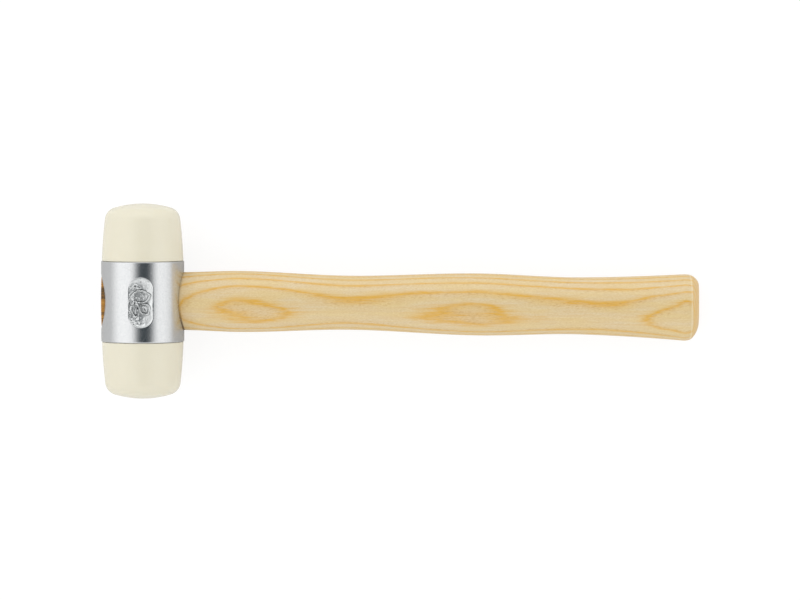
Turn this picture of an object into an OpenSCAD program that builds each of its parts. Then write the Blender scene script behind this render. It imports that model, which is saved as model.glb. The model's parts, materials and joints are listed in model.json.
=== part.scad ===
// Soft face hammer: a cast head body with two screwed-in nylon faces, and an ash handle
// that is wedged into the waisted eye of the head.
// Each piece is drawn about the centre of the head: X runs along the handle, Y along the
// striking axis and Z out of the side with the cast recess. rest_on_bench() then lays the
// hammer on its side, on the head and on the swell of the butt.

/* [Head body] */
// Diameter of the head body
head_d = 50; // [45:0.5:60]
// Length of the head body along the striking axis
body_l = 48.5; // [46:0.5:65]
// Chamfer on both rims of the head body
rim_chamfer = 0.5; // [0.2:0.1:1]

/* [Eye] */
// Height of the eye at the handle's side, along the striking axis
eye_h = 35.2; // [30:0.2:36]
// Width of the eye at the handle's side
eye_w = 23; // [21:0.2:26]
// Width of the eye at its waist, in the middle of the head
eye_waist_w = 19.2; // [17:0.2:20.4]
// Width of the eye at the wedged side
eye_far_w = 21.2; // [20.6:0.2:24]
// Gap between the tenon and the wall of the eye
eye_fit = 0.05; // [0.02:0.01:0.2]

/* [Cast recess] */
// Width of the recess across the head body
recess_w = 15; // [10:0.2:20]
// Length of the recess along the striking axis
recess_l = 29.8; // [22:0.2:38]
// Depth of the recess at the crown of the body
recess_depth = 1.7; // [1.3:0.1:2.2]

/* [Faces] */
// How far a face stands out of the head body
face_l = 34.5; // [28:0.5:45]
// How far the side of a face lies inside the side of the body, at the seam
face_inset = 0.5; // [0.2:0.1:1.5]
// Radius of the domed striking surface
dome_r = 60; // [48:1:120]
// Radius of the rounded edge of the striking surface
face_edge_r = 8; // [3:0.5:10]
// Radius of the barrel-shaped side
barrel_r = 300; // [220:10:600]
// How far below the seam the barrel would be widest
barrel_drop = 9; // [0:0.5:15]

/* [Face thread] */
// Outer diameter of the threaded spigot on each face
spigot_d = 26; // [20:0.5:30]
// Length of the spigot
spigot_l = 6; // [4:0.5:7]
// Chamfer at the spigot's tip and at the socket's mouth
spigot_chamfer = 0.8; // [0.4:0.1:1.5]
// Radial clearance of the spigot in its socket
thread_clearance = 0.1; // [0.05:0.01:0.3]
// Room between the spigot's tip and the floor of the socket
socket_gap = 0.5; // [0.3:0.1:1]

/* [Handle] */
// Length of the hammer from the far side of the head to the butt
overall_l = 360; // [300:1:420]
// Height of the handle at the belly behind the head
belly_h = 36.8; // [33:0.2:40]
// Thickness of the handle at the belly
belly_t = 24.6; // [22:0.2:28]
// Height of the handle at its waist
waist_h = 32.6; // [29:0.2:36]
// Thickness of the handle at its waist
waist_t = 22; // [20:0.2:26]
// Height of the handle at the palm swell
palm_h = 37.4; // [33:0.2:42]
// Thickness of the handle at the palm swell
palm_t = 25; // [22:0.2:28]
// Height of the handle at the wrist, in front of the butt
wrist_h = 34.3; // [31:0.2:38]
// Thickness of the handle at the wrist
wrist_t = 23.2; // [21:0.2:26]
// Height of the handle at the butt
butt_h = 40; // [36:0.2:44]
// Thickness of the handle at the butt
butt_t = 26.6; // [24:0.2:30]
// How far the butt hangs below the line through the head
butt_drop = 3.9; // [0:0.1:8]
// Length of the rounded end of the butt
butt_round_l = 9; // [5:0.5:12]
// How far the rounded end draws in to the small flat of the butt
butt_round_in = 9; // [6:0.5:10]
// How much more the rounded end draws in from below than from above
butt_round_rise = 2.4; // [0:0.1:3]
// How far the end of the tenon stays inside the side of the head
tenon_inset = 0.4; // [0.4:0.1:2]

/* [Wedges] */
// Depth of the wooden wedge
wood_wedge_l = 32; // [26:1:38]
// Thickness of the wooden wedge at its outer end
wood_wedge_t = 4.6; // [3.6:0.2:6]
// Thickness of the wooden wedge at its tip
wood_wedge_tip_t = 1.4; // [1:0.2:2]
// How far each edge of the wooden wedge stays inside the waist of the eye
wood_wedge_edge_gap = 0.7; // [0.5:0.1:2]
// Depth of each steel wedge
steel_wedge_l = 16; // [12:1:20]
// Breadth of each steel wedge, across the wooden one
steel_wedge_b = 13; // [9:0.5:14]
// Thickness of each steel wedge at its outer end
steel_wedge_t = 2.4; // [1.8:0.2:3.2]
// Thickness of each steel wedge at its tip
steel_wedge_tip_t = 0.6; // [0.4:0.1:1]
// Distance between the two steel wedges
steel_wedge_pitch = 14; // [10:0.5:17]
// How far each barb of a steel wedge is cut in
barb_depth = 0.2; // [0.1:0.05:0.25]
// Gap between a wedge and its slot
wedge_fit = 0.05; // [0.02:0.01:0.15]

/* [Hidden] */

$fn = 96;
// Sides of the very large circles, so that their arcs stay smooth
large_fn = 720;
// How far each cut runs past the surface that it opens
overrun = 1;

head_r = head_d / 2;
face_r = head_r - face_inset;
spigot_r = spigot_d / 2;
socket_r = spigot_r + thread_clearance;
socket_depth = spigot_l + socket_gap;
eye_ratio = eye_h / eye_w;
eye_waist_h = eye_waist_w * eye_ratio;

// Places of the belly, waist, palm swell, wrist and butt along the free length of the handle
station_shares = [0, 0.11, 0.33, 0.59, 0.775, 1];
// Place along the rounded end of the butt, and how far it has drawn in there
butt_round_shares = [[0.25, 0.01], [0.49, 0.05], [0.745, 0.28], [0.87, 0.485], [0.95, 0.69],
                     [0.985, 0.83], [1, 1]];
// How oval the section is: 1 is an ellipse, and 0 has straight flanks between half circles
neck_oval_share = 1;
grip_oval_share = 0.62;
flare_power = 1.6;
drop_power = 1.2;
rings_per_span = 8;
ring_points = 32;
barbs = 3;

butt_x = overall_l - head_r;
swell_x = butt_x - butt_round_l;
tenon_x = tenon_inset - head_r;
station_x = [for (s = station_shares) head_r + (swell_x - head_r) * s];
station_h = [eye_h - 2 * eye_fit * eye_ratio, belly_h, waist_h, palm_h, wrist_h, butt_h];
station_t = [eye_w - 2 * eye_fit, belly_t, waist_t, palm_t, wrist_t, butt_t];
last_span = len(station_x) - 2;

// The bench touches the round of the head and the swell of the butt
swell_r = norm([swell_x, butt_t / 2]);
rest_tilt = asin(head_r / swell_r) - atan2(butt_t / 2, swell_x);
reach_x = butt_x * cos(rest_tilt) + (butt_t / 2 - butt_round_in) * sin(rest_tilt);
middle_x = (reach_x - head_r) / 2;

// Centres and tangent points of the arcs of a face: barrel, rounded edge and dome
barrel_c = [face_r - sqrt(barrel_r * barrel_r - barrel_drop * barrel_drop), -barrel_drop];
dome_c = [0, face_l - dome_r];
edge_c = circles_meet(barrel_c, barrel_r - face_edge_r, dome_c, dome_r - face_edge_r);
side_dir = (edge_c - barrel_c) / norm(edge_c - barrel_c);
dome_dir = (edge_c - dome_c) / norm(edge_c - dome_c);

// The outer of the two points where two circles cross
function circles_meet(c1, r1, c2, r2) =
    let (d = norm(c2 - c1),
         u = (c2 - c1) / d,
         along = (d * d + r1 * r1 - r2 * r2) / (2 * d),
         across = sqrt(r1 * r1 - along * along))
    c1 + along * u + across * [-u[1], u[0]] * (u[1] < 0 ? 1 : -1);

// Half the width of the eye at a place along the handle
function eye_half_w(x) =
    (eye_waist_w + (x < 0 ? eye_far_w - eye_waist_w : eye_w - eye_waist_w) * abs(x) / head_r) / 2;

function ease(t) = t * t * (3 - 2 * t);

function span_at(x) = max([for (i = [0:last_span]) if (x >= station_x[i]) i]);

// A size of the handle that swells and narrows from station to station
function swelling(x, sizes) =
    let (i = span_at(x),
         t = (x - station_x[i]) / (station_x[i + 1] - station_x[i]))
    sizes[i] + (sizes[i + 1] - sizes[i]) * (i == last_span ? pow(t, flare_power) : ease(t));

function centre_y(x) =
    -butt_drop * pow(max(0, (x - head_r) / (swell_x - head_r)), drop_power);

function oval_at(x) =
    neck_oval_share + (grip_oval_share - neck_oval_share)
        * ease(min(1, (x - head_r) / (station_x[2] - head_r)));

// One section of the handle: half ellipses above and below, with flanks between them
function ring(x, y, half_h, half_t, oval) =
    let (end_h = half_t + (half_h - half_t) * oval)
    [for (i = [0:ring_points - 1])
        let (a = 360 * i / ring_points)
        [x, y + sign(sin(a)) * (half_h - end_h) + end_h * sin(a), half_t * cos(a)]];

function tenon_ring(x) =
    let (half_w = eye_half_w(x) - eye_fit)
    ring(x, 0, half_w * eye_ratio, half_w, neck_oval_share);

function grip_ring(x) =
    ring(x, centre_y(x), swelling(x, station_h) / 2, swelling(x, station_t) / 2, oval_at(x));

// A section of the rounded end, from its place along that end and how far it has drawn in
function butt_ring(along_share, in_share) =
    let (inward = butt_round_in * in_share)
    ring(swell_x + butt_round_l * along_share, butt_round_rise * in_share - butt_drop,
         butt_h / 2 - inward, butt_t / 2 - inward, grip_oval_share);

handle_rings = concat(
    [tenon_ring(tenon_x), tenon_ring(0)],
    [for (i = [0:last_span], k = [0:rings_per_span - 1])
        grip_ring(station_x[i] + (station_x[i + 1] - station_x[i]) * k / rings_per_span)],
    [butt_ring(0, 0)],
    [for (s = butt_round_shares) butt_ring(s[0], s[1])]);

module rest_on_bench() {
    translate([-middle_x, 0, head_r])
        rotate([0, rest_tilt, 0])
            children();
}

// Turns a shape that stands on Z so that it points along +Y
module along_strike_axis() {
    rotate([-90, 0, 0])
        children();
}

// Half of the section through the head body
module body_section() {
    polygon([[0, -body_l / 2],
             [head_r - rim_chamfer, -body_l / 2],
             [head_r, rim_chamfer - body_l / 2],
             [head_r, body_l / 2 - rim_chamfer],
             [head_r - rim_chamfer, body_l / 2],
             [0, body_l / 2]]);
}

// The oval eye, narrow in the middle and flared to both sides of the head
module eye() {
    reach = head_r + overrun;
    scale([1, eye_ratio, 1])
        rotate([0, 90, 0])
            rotate_extrude()
                polygon([[0, -reach],
                         [eye_half_w(-reach), -reach],
                         [eye_half_w(0), 0],
                         [eye_half_w(reach), reach],
                         [0, reach]]);
}

module socket() {
    along_strike_axis()
        rotate_extrude()
            polygon([[0, body_l / 2 - socket_depth],
                     [socket_r, body_l / 2 - socket_depth],
                     [socket_r, body_l / 2 - spigot_chamfer],
                     [socket_r + spigot_chamfer, body_l / 2],
                     [socket_r + spigot_chamfer, body_l / 2 + overrun],
                     [0, body_l / 2 + overrun]]);
}

// The oval recess that the casting pattern leaves in the marked side
module recess() {
    end_y = (recess_l - recess_w) / 2;
    translate([0, 0, head_r - recess_depth])
        linear_extrude(recess_depth + overrun)
            union() {
                square([recess_w, 2 * end_y], center = true);
                for (side = [-1, 1])
                    translate([0, side * end_y])
                        circle(d = recess_w);
            }
}

module head_body() {
    color("silver")
        rest_on_bench()
            difference() {
                along_strike_axis()
                    rotate_extrude()
                        body_section();
                eye();
                for (side = [0, 1])
                    mirror([0, side, 0])
                        socket();
                recess();
            }
}

// Half of the section through a face, above its seam: three arcs that run into each other
module face_section() {
    union() {
        intersection() {
            translate(barrel_c)
                circle(r = barrel_r, $fn = large_fn);
            polygon([[0, 0],
                     [head_r, 0],
                     edge_c + side_dir * head_r,
                     edge_c,
                     [0, edge_c[1]]]);
        }
        intersection() {
            translate(edge_c)
                circle(r = face_edge_r);
            polygon([edge_c,
                     edge_c + side_dir * head_r,
                     edge_c + (side_dir + dome_dir) * head_r,
                     edge_c + dome_dir * head_r]);
        }
        intersection() {
            translate(dome_c)
                circle(r = dome_r, $fn = large_fn);
            polygon([[0, edge_c[1]],
                     edge_c,
                     edge_c + dome_dir * head_r,
                     [0, face_l + head_r]]);
        }
    }
}

module face() {
    along_strike_axis()
        translate([0, 0, body_l / 2]) {
            rotate_extrude()
                face_section();
            rotate_extrude()
                polygon([[0, -spigot_l],
                         [spigot_r - spigot_chamfer, -spigot_l],
                         [spigot_r, spigot_chamfer - spigot_l],
                         [spigot_r, 0],
                         [0, 0]]);
        }
}

module left_face() {
    color("ivory")
        rest_on_bench()
            mirror([0, 1, 0])
                face();
}

module right_face() {
    color("ivory")
        rest_on_bench()
            face();
}

// A skin over rings of points, closed at both ends
module loft(rings) {
    n = len(rings[0]);
    last = (len(rings) - 1) * n;
    polyhedron(
        points = [for (r = rings, p = r) p],
        faces = concat(
            [[for (i = [n - 1:-1:0]) i]],
            [for (k = [0:len(rings) - 2], i = [0:n - 1])
                let (j = (i + 1) % n)
                each [[k * n + i, k * n + j, k * n + n + i],
                      [k * n + j, k * n + n + j, k * n + n + i]]],
            [[for (i = [0:n - 1]) last + i]]));
}

// A wedge that starts at the end of the tenon, thick along Y and as broad as given along Z.
// gap widens it into its slot, and out carries the slot past the end of the tenon.
module wedge_blank(depth, thick, tip, broad, gap, out) {
    half = thick / 2 + gap;
    half_tip = tip / 2 + gap;
    translate([tenon_x, 0, 0])
        linear_extrude(broad + 2 * gap, center = true)
            polygon([[0, -half],
                     [depth + gap, -half_tip],
                     [depth + gap, half_tip],
                     [0, half],
                     [-out, half],
                     [-out, -half]]);
}

module wood_wedge_blank(broad, gap, out) {
    rotate([90, 0, 0])
        wedge_blank(wood_wedge_l, wood_wedge_t, wood_wedge_tip_t, broad, gap, out);
}

module steel_wedge_blank(side, gap, out) {
    translate([0, side * steel_wedge_pitch / 2, 0])
        wedge_blank(steel_wedge_l, steel_wedge_t, steel_wedge_tip_t, steel_wedge_b, gap, out);
}

module steel_wedge_slots() {
    for (side = [-1, 1])
        steel_wedge_blank(side, wedge_fit, overrun);
}

module handle() {
    color("burlywood")
        rest_on_bench()
            difference() {
                loft(handle_rings);
                wood_wedge_blank(eye_h, wedge_fit, overrun);
                steel_wedge_slots();
            }
}

module wooden_wedge() {
    color("peru")
        rest_on_bench()
            difference() {
                wood_wedge_blank(eye_waist_h - 2 * wood_wedge_edge_gap, 0, 0);
                steel_wedge_slots();
            }
}

// Barbs along both faces of a steel wedge, which keep it from working out
module steel_wedge(side) {
    barb_l = steel_wedge_l / (barbs + 2);
    slope = atan2((steel_wedge_t - steel_wedge_tip_t) / 2, steel_wedge_l);
    rest_on_bench()
        difference() {
            steel_wedge_blank(side, 0, 0);
            for (face = [-1, 1], k = [1:barbs])
                translate([tenon_x + k * barb_l, side * steel_wedge_pitch / 2, 0])
                    linear_extrude(steel_wedge_b + overrun, center = true)
                        polygon([[0, face * (steel_wedge_t / 2 - k * barb_l * tan(slope) - barb_depth)],
                                 [0, face * (steel_wedge_t / 2 + overrun)],
                                 [barb_l, face * (steel_wedge_t / 2 + overrun)],
                                 [barb_l, face * (steel_wedge_t / 2 - (k + 1) * barb_l * tan(slope))]]);
        }
}

module left_steel_wedge() {
    color("slategray")
        steel_wedge(-1);
}

module right_steel_wedge() {
    color("slategray")
        steel_wedge(1);
}

head_body();
left_face();
right_face();
handle();
wooden_wedge();
left_steel_wedge();
right_steel_wedge();
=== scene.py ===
"""Soft face hammer: the finished surfaces and materials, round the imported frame.

Every piece is worked out in the hammer's own axes, in millimetres: X runs from the middle of the
head along the handle, Y along the striking axis and Z out of the side with the cast recess.
TO_ROW then lays the piece, in metres, where the CAD hammer rests on its side.
"""
import json
import math

import bmesh
import bpy
import numpy as np
from mathutils import Matrix, Vector


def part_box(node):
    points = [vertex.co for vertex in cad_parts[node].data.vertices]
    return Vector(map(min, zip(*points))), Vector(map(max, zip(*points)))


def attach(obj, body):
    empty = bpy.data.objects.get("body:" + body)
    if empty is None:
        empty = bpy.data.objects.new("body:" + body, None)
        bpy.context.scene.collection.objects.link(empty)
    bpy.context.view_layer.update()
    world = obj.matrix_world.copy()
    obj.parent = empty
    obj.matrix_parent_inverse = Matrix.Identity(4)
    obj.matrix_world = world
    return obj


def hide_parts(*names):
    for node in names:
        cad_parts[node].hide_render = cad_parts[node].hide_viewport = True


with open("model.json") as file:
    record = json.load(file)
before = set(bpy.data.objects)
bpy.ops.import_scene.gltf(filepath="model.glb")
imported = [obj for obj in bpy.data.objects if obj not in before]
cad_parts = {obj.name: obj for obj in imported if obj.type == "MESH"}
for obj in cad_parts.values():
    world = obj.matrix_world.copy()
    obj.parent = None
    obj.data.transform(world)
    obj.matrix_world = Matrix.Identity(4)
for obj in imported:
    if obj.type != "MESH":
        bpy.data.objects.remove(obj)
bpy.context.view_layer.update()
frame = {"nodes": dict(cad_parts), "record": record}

# The hammer's place in the row
MM = 0.001
butt_axis = next(m["axis"] for m in frame["record"]["mounts"] if m["name"] == "butt_end")
REST_TILT = math.asin(-butt_axis[2])
head_low, head_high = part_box("head_body")
HEAD_CENTRE = (head_low + head_high) / 2
REST_TURN = Matrix.Rotation(REST_TILT, 4, "Y")
TO_ROW = Matrix.Translation(HEAD_CENTRE) @ REST_TURN @ Matrix.Scale(MM, 4)

# Head body
HEAD_R = 25.0
BODY_L = 48.5
RIM_ROUND = 0.5
EYE_W, EYE_WAIST_W, EYE_FAR_W = 23.0, 19.2, 21.2
EYE_RATIO = 35.2 / EYE_W
EYE_FIT = 0.05
EYE_FILLET = 0.7
# Width of the painted shade on the metal round the eye's mouth
EYE_RIM_SHADE_W = 1.8
RECESS_W, RECESS_L, RECESS_DEPTH = 15.0, 29.8, 1.7
RECESS_SPINE = (RECESS_L - RECESS_W) / 2
RECESS_LIP, RECESS_DRAFT = 0.25, 0.8
# How deep below the round side the cast skin starts, and how much deeper it is complete
SKIN_START, SKIN_DEPTH = 0.12, 0.35
# The cast floor is dished: lower in the middle than a flat one, and higher at the wall
DISH_DEPTH, DISH_LOW, DISH_W = 0.82, 0.46, 6.2

# Relief on the recess floor: plain foundry marks, by middle X and Y and half width and height
OVAL_MARK = (-0.3, 3.6, 5.1, 3.2)
DIAL_MARK = (2.3, -3.7, 2.8, 3.3)
BAR_MARK = (-3.4, -4.1, 2.3, 4.3)
BAR_PITCH, BAR_HALF_W = 2.1, 0.5
# Relief height, ridge half width, and that of the broader ridges whose slopes take sand and painted
# shade
RELIEF_H, RIDGE_HALF_W, SAND_AND_SHADE_HALF_W = 0.66, 0.36, 0.62
MARK_WANDER, MARK_WORN = 0.7, 0.4
# How far out in their marks the bars, the single bar and the ring reach, and how high they are
BARS_REACH, BAR_REACH, RING_REACH = 0.68, 0.62, 0.4
BARS_SHARE, RING_SHARE = 0.8, 0.9
# How far from the wall the relief is complete, and where the floor gets calmer, by Y
RELIEF_FADE, CALM_FROM, CALM_L, CALM_SHARE = 0.8, 6.0, 4.0, 0.6

# Unevenness of the casting: the size of its lumps in mm with their seed, and its height
WANDER_X, WANDER_Y, WEAR = (2.4, 12), (2.4, 13), (3.4, 6)
WAVES, RIPPLES, GRIT, BROKEN_LIP = (2.6, 3), (1.2, 11), (0.6, 5), (0.75, 8)
BLEMISHES, PITS, CHIPS, DIM_PATCH = (0.9, 4), (0.75, 7), (0.6, 9), (1.3, 10)
WAVE_H, RIPPLE_H, GRIT_H, BROKEN_H = 0.11, 0.06, 0.19, 0.24
# The spoilt part of the floor: where it ends to the right and above, and over what length
SPOILT_X, SPOILT_X_FADE, SPOILT_Y, SPOILT_Y_FADE = 1.5, 5.0, 9.0, 2.5
# Sand left in the casting, with painted shade on the relief's slopes that face up the recess: the
# slope that holds them, its chips along the left wall, and a darker patch of painted shade
SAND_AND_SHADE_SLOPE, SAND_AND_SHADE_SLOPE_FADE, SAND_AND_SHADE_LEAST = 0.1, 0.6, 0.4
CHIPS_W, CHIPS_FADE, CHIPS_HALF_L = 0.6, 0.3, 9.0
DIM_PATCH_MARK, DIM_PATCH_REACH, DIM_PATCH_FADE, DIM_PATCH_SHARE = (-0.6, 0.0, 1.0, 2.6), 3.2, 3.0, 0.34
SLOPE_STEP = 0.05

# Faces
FACE_R, FACE_L = 24.5, 34.5
DOME_R, FACE_EDGE_R, BARREL_R, BARREL_DROP = 60.0, 8.0, 300.0, 9.0
SEAM_ROUND = 0.25
# The seat of a face is cut back by a little near its edge, so that the seam closes inside it
SEAM_GAP, SEAM_GAP_R = 0.2, 22.8
SPIGOT_R, SPIGOT_L, SPIGOT_CHAMFER = 13.0, 6.0, 0.8
SOCKET_DEPTH = 6.5
THREAD_PITCH, THREAD_DEPTH, THREAD_CLEARANCE = 2.0, 1.1, 0.12
THREAD_START, THREAD_RUNOUT = 0.3, 1.2
# Place of the root along half a pitch, and length of the flank that leads to it
THREAD_ROOT, THREAD_FLANK = 0.8, 0.6

# Handle
SWELL_X, BUTT_X, TENON_X = 326.0, 335.0, -24.6
TENON_CHAMFER, TENON_END_L = 0.3, 1.5
STATION_SHARES = np.array([0, 0.11, 0.33, 0.59, 0.775, 1])
STATION_X = HEAD_R + (SWELL_X - HEAD_R) * STATION_SHARES
STATION_H = np.array([EYE_RATIO * (EYE_W - 2 * EYE_FIT), 36.8, 32.6, 37.4, 34.3, 40.0])
STATION_T = np.array([EYE_W - 2 * EYE_FIT, 24.6, 22.0, 25.0, 23.2, 26.6])
FLARE_POWER, DROP_POWER = 1.6, 1.2
NECK_OVAL, GRIP_OVAL = 1.0, 0.62
BUTT_DROP, BUTT_RISE, BUTT_IN = 3.9, 2.4, 9.0
BEVEL_START, BEVEL_START_IN, BEVEL_FLAT = 0.49, 0.05, 0.3
# How far the bevel starts nearer to the end on the flanks, and further from it above and below
BEVEL_FLANK, BEVEL_BACK, BEVEL_POWER = 0.4, 0.7, 5.0

# Wedges
WOOD_WEDGE = {"depth": 32.0, "thick": 4.6, "tip": 1.4}
STEEL_WEDGE = {"depth": 16.0, "thick": 2.4, "tip": 0.6}
STEEL_WEDGE_B, STEEL_WEDGE_PITCH = 13.0, 14.0
WEDGE_FIT = 0.05
CUT_OVERRUN = 1.0

# Points round the head body: a quarter of its end, and along its side
QUARTER_STEPS, SIDE_STEPS = 72, 88
ROUND_STEPS = 4 * QUARTER_STEPS
LOOP_STEPS = 2 * (QUARTER_STEPS + SIDE_STEPS)
HANDLE_STEPS = 144
# Rows of points on each part. Those round the eye and the recess lie closer near it, by a power
EYE_ROWS, RECESS_ROWS, ROW_POWER = 17, 15, 1.3
FILLET_ROWS, WALL_ROWS, FLOOR_ROWS = 7, 13, 49
THREAD_ROWS, DISC_ROWS = 46, 5
GRIP_ROWS, DRAW_IN_ROWS, BEVEL_ROWS, END_ROWS = 190, 8, 22, 7
# Length between two points round the recess, and points round one of its ends
RECESS_STEP_L, RECESS_BEND_STEPS = 0.244, 100
LATTICE_STEPS, ROOT_REPEATS, WELD_MM = 64, 12, 0.002


# Shapes that the pieces share

def ease(t):
    """0 to 1 with level ends: t squared times (3 - 2t)."""
    t = np.clip(t, 0, 1)
    return t * t * (3 - 2 * t)


def around(count):
    """Angles in even steps, once round."""
    return np.linspace(0, 2 * np.pi, count, endpoint=False)


def lumps(x, y, cell, seed):
    """Smooth random heights from -1 to 1: values on a square lattice, eased between its corners."""
    lattice = np.random.default_rng(seed).uniform(-1, 1, (LATTICE_STEPS, LATTICE_STEPS))
    column, row = np.floor(x / cell).astype(int), np.floor(y / cell).astype(int)
    across, along = ease(x / cell - column), ease(y / cell - row)
    corner = [lattice[(column + i) % LATTICE_STEPS, (row + j) % LATTICE_STEPS]
              for i in (0, 1) for j in (0, 1)]
    near = corner[0] + (corner[1] - corner[0]) * along
    far = corner[2] + (corner[3] - corner[2]) * along
    return near + (far - near) * across


def arc(centre, radius, start, end, count):
    """Points on an arc of a half section, from one angle to another."""
    angle = np.linspace(start, end, count)
    return np.stack([centre[0] + radius * np.cos(angle), centre[1] + radius * np.sin(angle)], -1)


def revolve(radius, height):
    """Radius and height, by row or by row and angle, turned about the striking axis."""
    radius, height, angle = np.broadcast_arrays(radius, height, around(ROUND_STEPS))
    return np.stack([radius * np.sin(angle), height, radius * np.cos(angle)], -1)


def turned(profile):
    """A half section of (radius, height) points turned about the striking axis."""
    return revolve(profile[:, :1], profile[:, 1:])


def thread_radius(height):
    """Radius of the spigot's thread by height and angle: the depth follows a trapezium along the
    pitch, and each turn moves it on by one pitch."""
    turn = np.linspace(0, 1, ROUND_STEPS, endpoint=False)
    along = np.abs((height / THREAD_PITCH - turn) % 1 - 0.5) * 2
    return SPIGOT_R - THREAD_DEPTH * (1 - np.clip((THREAD_ROOT - along) / THREAD_FLANK, 0, 1))


def between(start, end, shares):
    """Grids of points part of the way from one row of points to another."""
    return start + (end - start) * np.asarray(shares)[:, None, None]


# Making a mesh

def grid_quads(rows, columns, closed):
    """Corner numbers of a grid's quads; a closed grid joins its last column to its first."""
    index = np.arange(rows * columns).reshape(rows, columns)
    if closed:
        index = np.concatenate([index, index[:, :1]], axis=1)
    corners = [index[:-1, :-1], index[:-1, 1:], index[1:, 1:], index[1:, :-1]]
    return np.stack(corners, -1).reshape(-1, 4)


def make_piece(name, patches, sharp_degrees=32):
    """One closed mesh from grids of points: the grids are welded where they meet, the faces turned
    outwards and the whole laid in the row."""
    points, faces, first = [], [], 0
    for grid, closed in patches:
        points.append(grid.reshape(-1, 3))
        faces.append(grid_quads(*grid.shape[:2], closed) + first)
        first += points[-1].shape[0]
    mesh = bpy.data.meshes.new(name)
    mesh.from_pydata(np.concatenate(points).tolist(), [], np.concatenate(faces).tolist())
    weld = bmesh.new()
    weld.from_mesh(mesh)
    bmesh.ops.remove_doubles(weld, verts=weld.verts, dist=WELD_MM)
    bmesh.ops.recalc_face_normals(weld, faces=weld.faces)
    weld.to_mesh(mesh)
    weld.free()
    mesh.transform(TO_ROW)
    mesh.shade_smooth()
    mesh.set_sharp_from_angle(angle=math.radians(sharp_degrees))
    piece = bpy.data.objects.new(name, mesh)
    bpy.context.scene.collection.objects.link(piece)
    return piece


def hammer_points(piece):
    """The piece's points, back in the hammer's own axes."""
    flat = np.empty(len(piece.data.vertices) * 3, np.float32)
    piece.data.vertices.foreach_get("co", flat)
    back = np.array(TO_ROW.inverted())
    return flat.reshape(-1, 3) @ back[:3, :3].T + back[:3, 3]


def set_share(piece, name, values):
    """Keeps one number from 0 to 1 on each point of the piece, for its material."""
    attribute = piece.data.attributes.new(name, "FLOAT", "POINT")
    attribute.data.foreach_set("value", np.ascontiguousarray(values, np.float32))


def cut(piece, cutter):
    """Takes the cutter's solid out of the piece for good."""
    modifier = piece.modifiers.new("cut", "BOOLEAN")
    modifier.operation = "DIFFERENCE"
    modifier.solver = "EXACT"
    modifier.object = cutter
    shaped = piece.evaluated_get(bpy.context.evaluated_depsgraph_get())
    mesh = bpy.data.meshes.new_from_object(shaped)
    piece.modifiers.clear()
    piece.data = mesh
    bpy.data.objects.remove(cutter)


def dress(piece, node, material):
    """The piece stands for its CAD node, which it hides: same body, and its own finish as its one
    material.
    """
    record = frame["record"]
    body = next(b for b, nodes in record["behaviour"]["bodies"].items() if node in nodes)
    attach(piece, body)
    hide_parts(node)
    piece.data.materials.clear()
    piece.data.materials.append(material)


# Head body

def eye_half_w(x):
    """Half the width of the eye: narrow at its waist, wider in step with the distance from it."""
    flare = np.where(x < 0, EYE_FAR_W - EYE_WAIST_W, EYE_W - EYE_WAIST_W)
    return (EYE_WAIST_W + flare * np.abs(x) / HEAD_R) / 2


def eye_loop(side, radius, grow=0.0):
    """Where the eye, grown a little, meets a cylinder about the striking axis. At each angle a, x
    is the root of radius squared less (half width at x times cos a) squared, by repetition."""
    angle = around(LOOP_STEPS)
    x = np.full(LOOP_STEPS, radius)
    for _ in range(ROOT_REPEATS):
        half_w = eye_half_w(side * x) + grow
        x = np.sqrt(radius ** 2 - (half_w * np.cos(angle)) ** 2)
    return np.stack([side * x, half_w * EYE_RATIO * np.sin(angle), half_w * np.cos(angle)], -1)


def panel_loop():
    """Points round a quarter of the body's side, unrolled: from the middle of its right edge, over
    the top edge, and back."""
    half_u, half_y = HEAD_R * np.pi / 4, BODY_L / 2 - RIM_ROUND
    corners = np.array([[half_u, 0], [half_u, half_y], [-half_u, half_y], [-half_u, -half_y],
                        [half_u, -half_y], [half_u, 0]])
    half_side = SIDE_STEPS // 2
    ends = np.cumsum([0, half_side, QUARTER_STEPS, SIDE_STEPS, QUARTER_STEPS, half_side])
    step = np.arange(LOOP_STEPS)
    return np.stack([np.interp(step, ends, axis) for axis in corners.T], -1)


def wrap(unrolled, facing):
    """Bends an unrolled part of the body's side round the striking axis; facing is the direction
    of its middle in X and Z."""
    angle = unrolled[..., 0] / HEAD_R
    out, across = HEAD_R * np.cos(angle), HEAD_R * np.sin(angle)
    x = out * facing[0] + across * abs(facing[1])
    z = out * facing[1] + across * abs(facing[0])
    return np.stack([x, unrolled[..., 1], z], -1)


def unrolled(points, facing):
    """The unrolled place of points that lie on the body's side."""
    across = points[:, 0] * abs(facing[1]) + points[:, 2] * abs(facing[0])
    return np.stack([HEAD_R * np.arcsin(across / HEAD_R), points[:, 1]], -1)


def eye_mouth(side):
    """The side of the body round one mouth of the eye: rows from the eye's edge to the panel's, and
    a fillet that runs as a parabola from the side, by the true edge, into the eye."""
    facing = (side, 0)
    start = eye_loop(side, HEAD_R, EYE_FILLET)
    edge = eye_loop(side, HEAD_R)
    inside = eye_loop(side, HEAD_R - EYE_FILLET)
    shares = np.linspace(0, 1, EYE_ROWS) ** ROW_POWER
    flat = wrap(between(unrolled(start, facing), panel_loop(), shares), facing)
    t = np.linspace(0, 1, FILLET_ROWS)[:, None, None]
    fillet = (1 - t) ** 2 * start + 2 * t * (1 - t) * edge + t ** 2 * inside
    return [(flat, True), (fillet, True)], inside


def eye_wall(near, far):
    """The wall of the eye, straight from each mouth to the waist."""
    angle = around(LOOP_STEPS)
    half_w = EYE_WAIST_W / 2
    waist = np.stack([0 * angle, half_w * EYE_RATIO * np.sin(angle), half_w * np.cos(angle)], -1)
    shares = np.linspace(0, 1, 5)
    return [(between(near, waist, shares), True), (between(waist, far, shares), True)]


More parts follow.
